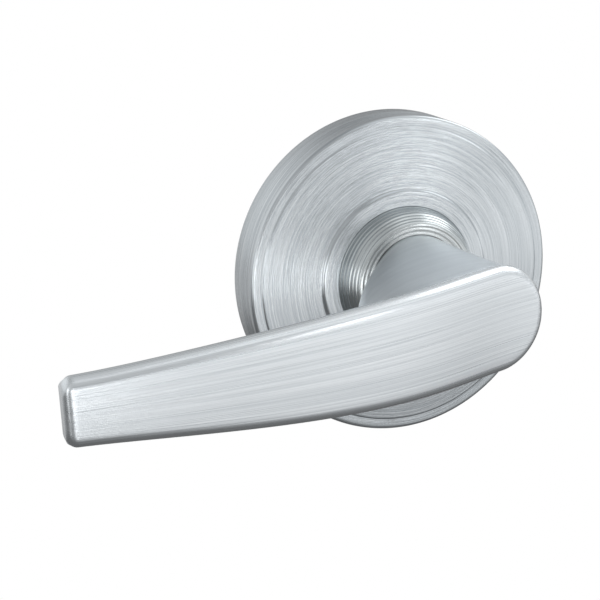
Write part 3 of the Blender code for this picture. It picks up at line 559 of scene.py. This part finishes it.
def dress(piece: bpy.types.Object, finish: Finish, made: dict[str, bpy.types.Material]) -> None:
    """Gives a piece one finish, whose material is made the first time.

    Args:
        piece: the piece to dress.
        finish: the finish to give it.
        made: the materials that exist already, by name.
    """
    if finish.name not in made:
        made[finish.name] = finish.material()
    piece.data.materials.clear()
    piece.data.materials.append(made[finish.name])


@dataclass
class Lever:
    """The cast lever: a blade that follows a curve in plan, on a round neck that widens towards the tip."""

    tip: tuple[float, float] = (-0.1095, 0.0764)
    tip_pull: tuple[float, float] = (-0.0180, 0.0849)
    heel_pull: tuple[float, float] = (-0.0160, 0.0673)
    heel: tuple[float, float] = (0.0168, 0.0612)
    thickness: float = 0.0058
    tip_half_height: float = 0.0081
    heel_half_height: float = 0.0133
    edge: float = 0.0026
    crown: float = 0.00016
    taper_start: float = 2.2
    taper_end: float = 1.57
    neck_radius: float = 0.0130
    neck_back: float = 0.0124
    flare: float = 0.0215
    heel_flare: float = 0.0024
    flare_start: float = 0.19
    squareness: float = 1.2
    bore_radius: float = 0.0093
    bore_depth: float = 0.0520
    key_back: float = 0.0260
    key_height: float = 0.0012
    key_width: float = 0.0026
    catch_depth: float = 0.0330
    catch_radius: float = 0.0025
    catch_hole_ends: tuple[float, float] = (-0.0200, -0.0060)
    wear_reach: float = 0.0012
    corner_steps: int = 9
    face_steps: int = 14
    body_steps: int = 150
    heel_steps: int = 26
    heel_turn: float = 86.0
    neck_rings: int = 57
    neck_points: int = 144
    bore_points: int = 240
    catch_hole_points: int = 64
    plan_points: int = 4001

    def plan(self, share: np.ndarray) -> np.ndarray:
        """The plan curve: the cubic between tip and heel that the two pulls bend.

        Args:
            share: the shares of the way from the tip to the heel.

        Returns:
            The points there, as (x, depth).
        """
        t = share[:, None]
        ends = [np.array(p) for p in (self.tip, self.tip_pull, self.heel_pull, self.heel)]
        return (1 - t)**3 * ends[0] + 3 * (1 - t)**2 * t * ends[1] + 3 * (1 - t) * t**2 * ends[2] + t**3 * ends[3]

    def station(self, x: np.ndarray) -> tuple[np.ndarray, np.ndarray]:
        """The front face at each x.

        Args:
            x: the places along the lever.

        Returns:
            Its depth there, and its unit normal as (x, depth).
        """
        share = np.linspace(-0.02, 1.02, self.plan_points)
        curve = self.plan(share)
        run = np.gradient(curve, axis=0)
        normal = np.stack([-run[:, 1], run[:, 0]], -1) / np.linalg.norm(run, axis=1)[:, None]
        depth = np.interp(x, curve[:, 0], curve[:, 1])
        return depth, np.stack([np.interp(x, curve[:, 0], normal[:, k]) for k in (0, 1)], -1)

    def half_height(self, x: np.ndarray) -> np.ndarray:
        """Half the blade's height: the tip's, plus the rest times (1 - reach^a)^b, where reach is x over the tip's.

        Args:
            x: the places along the lever.

        Returns:
            Half the height there.
        """
        reach = np.clip(x / self.tip[0], 0, 1)
        swell = (1 - reach**self.taper_start)**self.taper_end
        return self.tip_half_height + (self.heel_half_height - self.tip_half_height) * swell

    @property
    def heel_slope(self) -> float:
        """How much the heel's lean shortens a length in x."""
        rise, run = self.heel_pull[1] - self.heel[1], self.heel[0] - self.heel_pull[0]
        return math.cos(math.atan2(rise, run))

    @property
    def heel_centre(self) -> float:
        """Where the heel's half round is centred."""
        return self.heel[0] - self.heel_half_height * self.heel_slope

    def sections(self, x: np.ndarray, inset: np.ndarray) -> np.ndarray:
        """Rings round the blade, square to its plan curve: two flats joined by quarter rounds, the front one crowned.

        Past the heel's centre a quarter round at distance r from the centre stands sqrt(r^2 - past^2) high.

        Args:
            x: the places of the rings.
            inset: how far each ring is drawn in, for the rounded tip.

        Returns:
            The points, as (ring, point, coordinate).
        """
        depth, normal = self.station(x)
        past = np.maximum(0, x - self.heel_centre) / self.heel_slope
        height = self.half_height(np.minimum(x, self.heel_centre))
        flat = height - self.edge
        widest = np.where(past > flat, np.arccos(np.clip((past - flat) / self.edge, -1, 1)), np.pi / 2)
        turn = widest[:, None] * (1 - np.linspace(0, 1, self.corner_steps + 1))[None]
        reach = flat[:, None] + self.edge * np.cos(turn)
        up = np.sqrt(np.maximum(0, reach**2 - past[:, None]**2)) - inset[:, None]
        across = self.thickness / 2 - self.edge * (1 - np.sin(turn)) - inset[:, None]
        quarter = np.stack([across, up], -1)
        share = np.linspace(0, 1, self.face_steps, endpoint=False)[1:]
        share = share[None, :, None]
        front = quarter[:, :1] * np.array([1, -1]) * (1 - share) + quarter[:, :1] * share
        ring = np.concatenate([quarter, (quarter * [-1, 1])[:, ::-1], (front * [-1, 1])[:, ::-1],
                               quarter * [-1, -1], (quarter * [1, -1])[:, ::-1], front], 1)
        fall = self.crown * np.minimum(1, np.abs(ring[..., 1]) / height[:, None])**2
        ring[..., 0] -= fall * (ring[..., 0] > 0)
        middle = np.stack([x, depth], -1) - normal * self.thickness / 2
        place = middle[:, None] + normal[:, None] * ring[..., :1]
        return np.stack([place[..., 0], -place[..., 1], ring[..., 1]], -1)

    def blade(self) -> bpy.types.Object:
        """The blade, from its rounded tip to the half round of its heel.

        The tip's rings draw in by the sine and step out by the cosine of a quarter turn, and the heel's rings stand
        at the sine of their turn, so that they crowd where the outline bends.

        Returns:
            Its closed skin.
        """
        turn = np.linspace(0, np.pi / 2, self.corner_steps, endpoint=False)
        start = self.tip[0] + self.edge
        heel = np.sin(np.linspace(0, math.radians(self.heel_turn), self.heel_steps + 1)[1:])
        body = np.linspace(start, self.heel_centre, self.body_steps + 1)
        x = np.concatenate([self.tip[0] + self.edge * (1 - np.cos(turn)), body,
                            self.heel_centre + (self.heel[0] - self.heel_centre) * heel])
        inset = np.concatenate([self.edge * (1 - np.sin(turn)), np.zeros(len(body) + len(heel))])
        return lofted("lever_form", self.sections(x, inset))

    def neck(self) -> bpy.types.Object:
        """The neck: ovals whose left side moves out by the sine of the share, squarer as they widen.

        Each is x = centre + half width * cos^p and z = radius * sin^p, with the signs kept, where p falls from 1. The
        first ring is the round one inside the collar, and the last lies inside the blade.

        Returns:
            Its closed skin.
        """
        share = np.linspace(0, 1, self.neck_rings)[:, None]
        widen = np.concatenate([np.zeros((1, 1)), share])
        rise = np.concatenate([np.zeros((1, 1)), self.flare_start + (1 - self.flare_start) * share])
        left = -self.neck_radius - self.flare * np.sin(widen * np.pi / 2)
        right = self.neck_radius + self.heel_flare * widen
        power = 2 / (2 + self.squareness * widen)
        angle = np.linspace(0, 2 * np.pi, self.neck_points, endpoint=False)[None]
        cosine, sine = np.cos(angle), np.sin(angle)
        x = (left + right) / 2 + (right - left) / 2 * np.sign(cosine) * np.abs(cosine)**power
        z = self.neck_radius * np.sign(sine) * np.abs(sine)**power
        depth, normal = self.station(x.ravel())
        inside = (depth - self.thickness / 2 / normal[:, 1]).reshape(x.shape)
        y = -(self.neck_back + (inside - self.neck_back) * rise)
        return lofted("neck_form", np.stack([x, y, z], -1))

    def bore(self, back: float, front: float, keyed: bool) -> bpy.types.Object:
        """The spindle's bore between two depths: a circle, whose sides are held in where the keys are.

        Args:
            back: the nearer depth to the door.
            front: the depth where it ends.
            keyed: whether the keys stand in it.

        Returns:
            The skin to cut with.
        """
        angle = np.linspace(0, 2 * np.pi, self.bore_points, endpoint=False)
        x, z = self.bore_radius * np.cos(angle), self.bore_radius * np.sin(angle)
        if keyed:
            held = np.abs(z) < self.key_width / 2
            x = np.where(held, np.sign(x) * (self.bore_radius - self.key_height), x)
        rings = [np.stack([x, np.full_like(x, -depth), z], -1) for depth in (back, front)]
        return lofted("bore_form", np.stack(rings))

    def catch_hole(self) -> bpy.types.Object:
        """The hole under the neck that the catch stands in.

        Returns:
            The skin to cut with.
        """
        angle = np.linspace(0, 2 * np.pi, self.catch_hole_points, endpoint=False)
        x, y = self.catch_radius * np.cos(angle), self.catch_radius * np.sin(angle) - self.catch_depth
        rings = [np.stack([x, y, np.full_like(x, z)], -1) for z in self.catch_hole_ends]
        return lofted("catch_hole_form", np.stack(rings))

    def mark(self, piece: bpy.types.Object) -> None:
        """Stores the grain's place and the edges' wear on each vertex.

        The grain's place is the length along the lever, the depth behind its face, and the height with the taper
        taken out. Wear falls off as e to the minus distance from the outline.

        Args:
            piece: the finished lever.
        """
        points = points_of(piece)
        x, depth, z = points[:, 0], -points[:, 1], points[:, 2]
        face, normal = self.station(x)
        tall = self.half_height(np.minimum(x, self.heel_centre))
        grain = np.stack([x, (face - depth) * normal[:, 1], z / tall * self.heel_half_height], -1)
        edge = np.minimum(np.abs(tall - np.abs(z)), np.abs(x - self.tip[0]))
        wear = np.exp(-edge / self.wear_reach) * (grain[:, 1] < self.thickness)
        piece.data.attributes.new("grain", "FLOAT_VECTOR", "POINT").data.foreach_set("vector", grain.ravel())
        piece.data.attributes.new("wear", "FLOAT", "POINT").data.foreach_set("value", wear)

    def build(self, made: dict[str, bpy.types.Material]) -> bpy.types.Object:
        """Builds the lever and puts it in the CAD lever's place.

        Args:
            made: the materials that exist already, by name.

        Returns:
            The lever.
        """
        piece = self.blade()
        piece.name = "satin_lever"
        piece.visible_glossy = False
        joined(piece, self.neck(), "UNION")
        joined(piece, self.bore(self.neck_back - OVERCUT, self.key_back, False), "DIFFERENCE")
        joined(piece, self.bore(self.key_back - LAP, self.bore_depth, True), "DIFFERENCE")
        joined(piece, self.catch_hole(), "DIFFERENCE")
        sharpened(piece, 30)
        self.mark(piece)
        dress(piece, LEVER_CHROME, made)
        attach(piece, "handle")
        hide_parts("lever")
        LOG.info("lever: %d faces", len(piece.data.polygons))
        return piece


@dataclass
class Rose:
    """The rose: a pressed dish with a plain band round its face, a low cone and a step round its hole."""

    radius: float = 0.0430
    edge_depth: float = 0.0129
    corner: float = 0.0012
    wall: float = 0.0012
    band: float = 0.0030
    rise: float = 0.0013
    shoulder: float = 0.0232
    step: float = 0.0007
    hole: float = 0.0193
    grooves: tuple[float, float] = (0.0050, 0.0108)
    groove_count: int = 5
    groove: float = 0.00009
    groove_steps: int = 12
    corner_steps: int = 7
    round_steps: int = 320

    def profile(self) -> np.ndarray:
        """The dish's section: straight sides between corners, each rounded to its own reach.

        The grooves in its side are sunk by half of 1 - cos of their run, times their depth.

        Returns:
            Its points, as (radius, depth), from the back edge out over the face and back inside.
        """
        top = self.edge_depth + self.rise + self.step
        rim, inner = self.radius - self.band, self.radius - self.wall
        # Each row is a corner's radius and depth and the reach of its rounding: the outside, the hole, the inside.
        rows = [
            (self.radius, 0, 0.0002), (self.radius, self.edge_depth, 1.2 * self.corner),
            (rim, self.edge_depth, 0.00012), (rim - GAP, self.edge_depth + GAP, 0.00025),
            (self.shoulder + self.step, top - self.step, 0.0004), (self.shoulder, top, 0.0005),
            (self.hole, top + GAP, 0.0002),
            (self.hole, top + GAP - self.wall, 0.0001), (self.shoulder, top - self.wall, 0.0002),
            (self.shoulder + self.wall, top - self.step - self.wall, 0.0002),
            (inner, self.edge_depth - self.wall, self.corner), (inner, 0, 0.0001),
        ]
        corners = np.array(rows)
        outline = eased(corners[:, :2], corners[:, 2], self.corner_steps)
        start, end = self.grooves
        depth = np.linspace(start, end, self.groove_steps * self.groove_count + 1)
        sunk = self.groove * (1 - np.cos(2 * np.pi * self.groove_count * (depth - start) / (end - start))) / 2
        side = np.stack([self.radius - sunk, depth], -1)
        back_corner = self.corner_steps + 1
        return np.concatenate([outline[:back_corner], side, outline[back_corner:]])

    def build(self, made: dict[str, bpy.types.Material]) -> bpy.types.Object:
        """Builds the rose and puts it in the CAD rose's place.

        Args:
            made: the materials that exist already, by name.

        Returns:
            The rose.
        """
        piece = turned("satin_rose", self.profile(), self.round_steps)
        sharpened(piece, 40)
        dress(piece, ROSE_CHROME, made)
        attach(piece, "lockset_body")
        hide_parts("rose")
        LOG.info("rose: %d faces", len(piece.data.polygons))
        return piece


@dataclass
class Collar:
    """The collar round the neck: a waisted ring with turned grooves, a flange behind the rose and a lip in front."""

    front_depth: float = 0.0220
    front_radius: float = 0.0164
    waist_radius: float = 0.0181
    waist_depth: float = 0.0188
    outer_radius: float = 0.01925
    shoulder_depth: float = 0.0149
    back_depth: float = 0.0111
    flange_radius: float = 0.0225
    flange: float = 0.0014
    bore: float = 0.0147
    lip_radius: float = 0.0131
    lip: float = 0.0012
    lip_edge: float = 0.0002
    groove: float = 0.00010
    groove_steps: int = 10
    round_steps: int = 256

    def grooved(self, start: tuple[float, float], end: tuple[float, float], count: int) -> np.ndarray:
        """A straight side with shallow round grooves: sunk by half of 1 - cos of its run, times the groove's depth.

        Args:
            start: the side's start, as (radius, depth).
            end: its end.
            count: how many grooves it has.

        Returns:
            Its points.
        """
        first, last = np.array(start), np.array(end)
        share = np.linspace(0.0, 1.0, self.groove_steps * count + 1)[:, None]
        along = (last - first) / np.linalg.norm(last - first)
        inward = np.array([-along[1], along[0]])
        inward = inward if inward[1] < 0 or inward[0] < 0 else -inward
        sunk = self.groove * (1 - np.cos(2 * np.pi * count * share)) / 2
        return first + (last - first) * share + inward * sunk

    def profile(self) -> np.ndarray:
        """The collar's section: straight sides, with grooves in the three that show.

        Returns:
            Its points, as (radius, depth), from the flange out over the waist to the lip and back along the bore.
        """
        edge = (self.front_radius - self.bore) / 2
        step = self.front_depth - self.lip
        back = np.array([(self.bore, self.back_depth), (self.flange_radius, self.back_depth),
                         (self.flange_radius, self.back_depth + self.flange),
                         (self.outer_radius, self.back_depth + self.flange)])
        outer = (self.outer_radius, self.shoulder_depth + GAP)
        waist = (self.waist_radius, self.waist_depth)
        brow = (self.front_radius, self.front_depth - edge / 2)
        face = (self.front_radius - edge, self.front_depth)
        lips = np.array([(self.lip_radius, self.front_depth), (self.lip_radius, step), (self.bore, step)])
        return np.concatenate([back, self.grooved(outer, waist, 3), self.grooved(waist, brow, 3)[1:],
                               self.grooved(face, (self.lip_radius + self.lip_edge, self.front_depth), 2), lips])

    def build(self, made: dict[str, bpy.types.Material]) -> bpy.types.Object:
        """Builds the collar and puts it in the CAD collar's place.

        Args:
            made: the materials that exist already, by name.

        Returns:
            The collar.
        """
        piece = turned("turned_collar", self.profile(), self.round_steps)
        sharpened(piece, 50)
        dress(piece, COLLAR_CHROME, made)
        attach(piece, "lockset_body")
        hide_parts("rose_collar")
        LOG.info("collar: %d faces", len(piece.data.polygons))
        return piece


@dataclass(frozen=True)
class InnerWorks:
    """The pieces inside the rose and the door, which keep their CAD shapes and get their own finishes."""

    plated: tuple[str, ...] = ("outside_spindle", "retaining_ring", "cage_plate", "cage_screw_1", "cage_screw_2",
                               "cage_screw_3", "cage_screw_4", "upper_post", "lower_post", "drive_plate", "hub_nut",
                               "chassis_case", "outer_cam", "inner_cam", "inner_spindle", "lever_catch")
    cast: tuple[str, ...] = ("spring_cage", "outer_hub", "inner_hub", "retractor")
    wound: tuple[str, ...] = ("catch_spring", "left_return_spring", "right_return_spring",
                              "upper_retractor_spring", "lower_retractor_spring")
    bronze: tuple[str, ...] = ("neck_bush", "thrust_washer")

    def dress_all(self, nodes: dict[str, bpy.types.Object], made: dict[str, bpy.types.Material]) -> None:
        """Gives every piece its finish.

        Args:
            nodes: the CAD pieces by name.
            made: the materials that exist already, by name.
        """
        groups = ((self.plated, ZINC_PLATE), (self.cast, ZINC_CASTING), (self.wound, SPRING_WIRE),
                  (self.bronze, BEARING_BRONZE))
        for names, finish in groups:
            for name in names:
                dress(nodes[name], finish, made)
                LOG.info("%s: %s", name, finish.grain.value)


@dataclass(frozen=True)
class Softbox:
    """One soft lamp: where it hangs, how wide and high it is, and how brightly its face glows."""

    name: str
    place: tuple[float, float, float]
    width: float
    height: float
    glow: float

    def hang(self) -> None:
        """Hangs the lamp, facing the lockset, with pi times its area times its glow as its power."""
        lamp = bpy.data.lights.new(self.name, "AREA")
        lamp.shape, lamp.size, lamp.size_y = "RECTANGLE", self.width, self.height
        lamp.energy = math.pi * self.width * self.height * self.glow
        made = bpy.data.objects.new(self.name, lamp)
        bpy.context.scene.collection.objects.link(made)
        place = Vector(self.place)
        facing = (place - Vector(AIM)).to_track_quat("Z", "Y").to_matrix().to_4x4()
        made.matrix_world = Matrix.Translation(place) @ facing


@dataclass(frozen=True)
class Brightening:
    """One soft brightening of the walls or the floor, in one direction.

    It grows from nothing to its glow as the way towards that direction goes from start to end.
    """

    name: str
    towards: tuple[float, float, float]
    start: float
    end: float
    glow: float

    def over(self, place: tuple[Signal, ...]) -> Signal:
        """How much it adds at a place: the way is the sum of the place's numbers times the direction's.

        Args:
            place: the three numbers of the place.

        Returns:
            The added glow.
        """
        first, *rest = [part * share for part, share in zip(place, self.towards) if share]
        return sum(rest, first).smoothly(self.start, self.end) * self.glow


@dataclass
class Studio:
    """The camera, the soft lamps, the pale surroundings and the floor.

    The camera's turn, tilt and roll are in degrees, and right and up are how far it stands off the line to the
    origin. The walls and the floor have a darkest glow, to which their lights add.
    """

    distance: float = 0.5
    turn: float = 20.695
    tilt: float = 15.986
    roll: float = -3.5
    right: float = -0.02259
    up: float = -0.009558
    lens: float = 109.59
    sensor: float = 36.0
    nearest: float = 0.01
    floor: float = -0.45
    floor_bend: float = 0.00002
    floor_radii: tuple[float, float] = (0.05, 9.0)
    darkest_wall: float = 0.20
    wall_lights: tuple[Brightening, ...] = (
        Brightening("front", (0.6, -1.0, 0.0), -0.5, 0.8, 0.12),
        Brightening("left", (-1.0, 0.0, 0.0), -0.1, 0.7, 0.16),
        Brightening("above", (0.0, 0.0, 1.0), -0.5, 0.6, 0.22),
        Brightening("rear left", (-1.0, 1.0, 0.0), 0.5, 1.3, 0.42),
        Brightening("upper right", (1.3, 0.0, 0.8), 0.6, 1.3, 0.40),
    )
    darkest_floor: float = 0.16
    floor_lights: tuple[Brightening, ...] = (
        Brightening("front", (0.6, -1.0, 0.0), 0.0, 2.5, 1.12),
        Brightening("rear", (-0.4, 1.0, 0.0), 0.7, 1.6, 0.46),
    )
    softboxes: tuple[Softbox, ...] = (
        Softbox("left_box", (-0.95, -0.50, -0.02), 0.30, 0.5, 1.8),
        Softbox("near_left_box", (-0.27, -0.97, -0.18), 0.36, 0.16, 3.4),
        Softbox("front_box", (0.56, -1.0, 0.26), 0.30, 0.34, 2.8),
        Softbox("right_box", (0.78, 0.18, 0.62), 0.6, 0.5, 1.9),
        Softbox("top_box", (0.12, -0.42, 0.90), 0.45, 0.30, 0.5),
    )

    def camera(self) -> None:
        """Stands the camera out from the door, to the lever's side and above."""
        a, e, roll = (math.radians(v) for v in (self.turn, self.tilt, self.roll))
        back = Vector((-math.sin(a) * math.cos(e), -math.cos(a) * math.cos(e), math.sin(e)))
        level = Vector((math.cos(a), -math.sin(a), 0))
        over = back.cross(level)
        across = math.cos(roll) * level + math.sin(roll) * over
        over = -math.sin(roll) * level + math.cos(roll) * over
        place = self.distance * back + self.right * across + self.up * over
        view = bpy.data.cameras.new("camera")
        view.lens, view.sensor_width, view.clip_start = self.lens, self.sensor, self.nearest
        made = bpy.data.objects.new("camera", view)
        bpy.context.scene.collection.objects.link(made)
        made.matrix_world = Matrix.Translation(place) @ Matrix((across, over, back)).transposed().to_4x4()
        bpy.context.scene.camera = made

    def surroundings(self) -> None:
        """Pale walls all round, which look plain white and are brighter in some directions than in others."""
        world = bpy.data.worlds.new("pale_room")
        bpy.context.scene.world = world
        world.use_nodes = True
        shader = Shader(world.node_tree)
        place = shader.parts(shader.node("ShaderNodeTexCoord", None, None, "Generated"))
        glow = sum((light.over(place) for light in self.wall_lights), self.darkest_wall)
        seen = shader.node("ShaderNodeLightPath", None, None, "Is Camera Ray")
        walls = shader.node("ShaderNodeBackground", None, {"Color": COOL_WHITE, "Strength": glow})
        plain = shader.node("ShaderNodeBackground", None, {"Color": WHITE, "Strength": 1.0})
        mixed = shader.node("ShaderNodeMixShader", None, {0: seen, 1: walls, 2: plain})
        shader.close(mixed, "ShaderNodeOutputWorld")

    def ground(self) -> None:
        """The floor: a wide shallow dish, level under the lockset, whose height grows as the fourth power of r."""
        rings, spokes = 24, 48
        radius = np.linspace(*self.floor_radii, rings)[:, None]
        angle = np.linspace(0, 2 * np.pi, spokes, endpoint=False)[None]
        height = self.floor + self.floor_bend * radius**4 + 0 * angle
        points = np.stack([radius * np.cos(angle), radius * np.sin(angle), height], -1)
        faces = grid_faces(rings, spokes).tolist() + [list(range(spokes))[::-1]]
        made = mesh_object("floor", points.reshape(-1, 3), faces)
        made.data.materials.append(self.floor_material())

    def floor_material(self) -> bpy.types.Material:
        """The floor's plain white, brighter in what it lights to the front and far behind than close by.

        Returns:
            The material.
        """
        material = bpy.data.materials.new("pale_floor")
        material.use_nodes = True
        shader = Shader(material.node_tree)
        place = shader.parts(object_place(shader))
        glow = sum((light.over(place) for light in self.floor_lights), self.darkest_floor)
        seen = shader.node("ShaderNodeLightPath", None, None, "Is Camera Ray")
        strength = glow + seen * (1.0 - glow)
        shader.close(shader.node("ShaderNodeEmission", None, {"Color": WHITE, "Strength": strength}))
        return material

    def build(self) -> None:
        """Sets up the whole studio."""
        bpy.context.scene.view_settings.view_transform = "Standard"
        self.camera()
        self.surroundings()
        self.ground()
        for softbox in self.softboxes:
            softbox.hang()
            LOG.info("softbox %s at %s", softbox.name, softbox.place)


def main() -> None:
    """Builds the studio and the lockset."""
    logging.basicConfig(level=logging.INFO, format="%(name)s: %(message)s")
    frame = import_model()
    Studio().build()
    made: dict[str, bpy.types.Material] = {}
    Lever().build(made)
    Rose().build(made)
    Collar().build(made)
    InnerWorks().dress_all(frame["nodes"], made)


if __name__ == "__main__":
    main()
